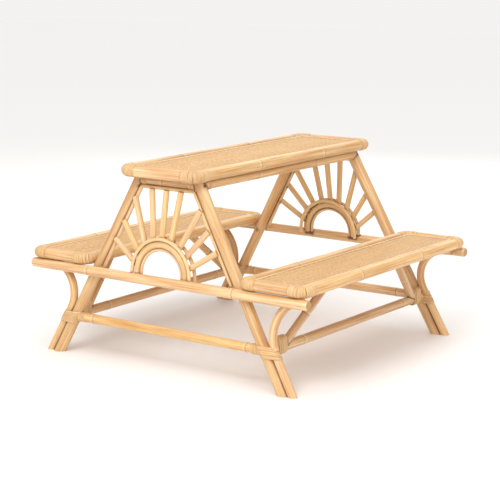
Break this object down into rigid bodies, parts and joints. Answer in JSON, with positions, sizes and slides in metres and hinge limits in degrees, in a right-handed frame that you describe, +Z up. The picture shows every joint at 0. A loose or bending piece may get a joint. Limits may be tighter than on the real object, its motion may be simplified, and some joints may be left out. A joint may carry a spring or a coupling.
{
  "type": "child's picnic table",
  "caption": "Rigid child-size rattan picnic table: a narrow woven top and two attached woven benches on two leaning A-frame ends with sunburst rod infills.",
  "frame": {"origin": "on the floor at the middle of the table", "axes": "+X along the table top, +Y across it towards the left bench, +Z up"},
  "size_m": [0.7772, 0.8404, 0.5012],
  "materials": {
    "pole": "satin",
    "thin_rod": "satin",
    "peel": "satin",
    "weave": "matte",
    "board": "matte",
    "screw": "satin"
  },
  "bodies": {
    "root": {"back_arch_inner": "thin_rod", "back_arch_middle": "thin_rod", "back_arch_outer": "thin_rod", "back_bindings": "peel", "back_bracket_left": "pole", "back_bracket_right": "pole", "back_fan_trim": "thin_rod", "back_leg_left": "pole", "back_leg_right": "pole", "back_lower_bar": "pole", "back_rays": "thin_rod", "back_seat_bar": "pole", "back_top_bar": "pole", "bench_left_board": "board", "bench_left_border_back": "pole", "bench_left_border_front": "pole", "bench_left_border_left": "pole", "bench_left_border_right": "pole", "bench_left_corner_wraps": "peel", "bench_left_trim": "peel", "bench_left_weave": "weave", "bench_right_board": "board", "bench_right_border_back": "pole", "bench_right_border_front": "pole", "bench_right_border_left": "pole", "bench_right_border_right": "pole", "bench_right_corner_wraps": "peel", "bench_right_trim": "peel", "bench_right_weave": "weave", "brace_back_left": "pole", "brace_back_right": "pole", "brace_front_left": "pole", "brace_front_right": "pole", "frame_screws": "screw", "front_arch_inner": "thin_rod", "front_arch_middle": "thin_rod", "front_arch_outer": "thin_rod", "front_bindings": "peel", "front_bracket_left": "pole", "front_bracket_right": "pole", "front_fan_trim": "thin_rod", "front_leg_left": "pole", "front_leg_right": "pole", "front_lower_bar": "pole", "front_rays": "thin_rod", "front_seat_bar": "pole", "front_top_bar": "pole", "stretcher_left": "pole", "stretcher_right": "pole", "stretcher_ties": "peel", "table_board": "board", "table_border_back": "pole", "table_border_front": "pole", "table_border_left": "pole", "table_border_right": "pole", "table_corner_wraps": "peel", "table_trim": "peel", "table_weave": "weave", "top_rail_left": "pole", "top_rail_right": "pole"}
  },
  "joints": []
}
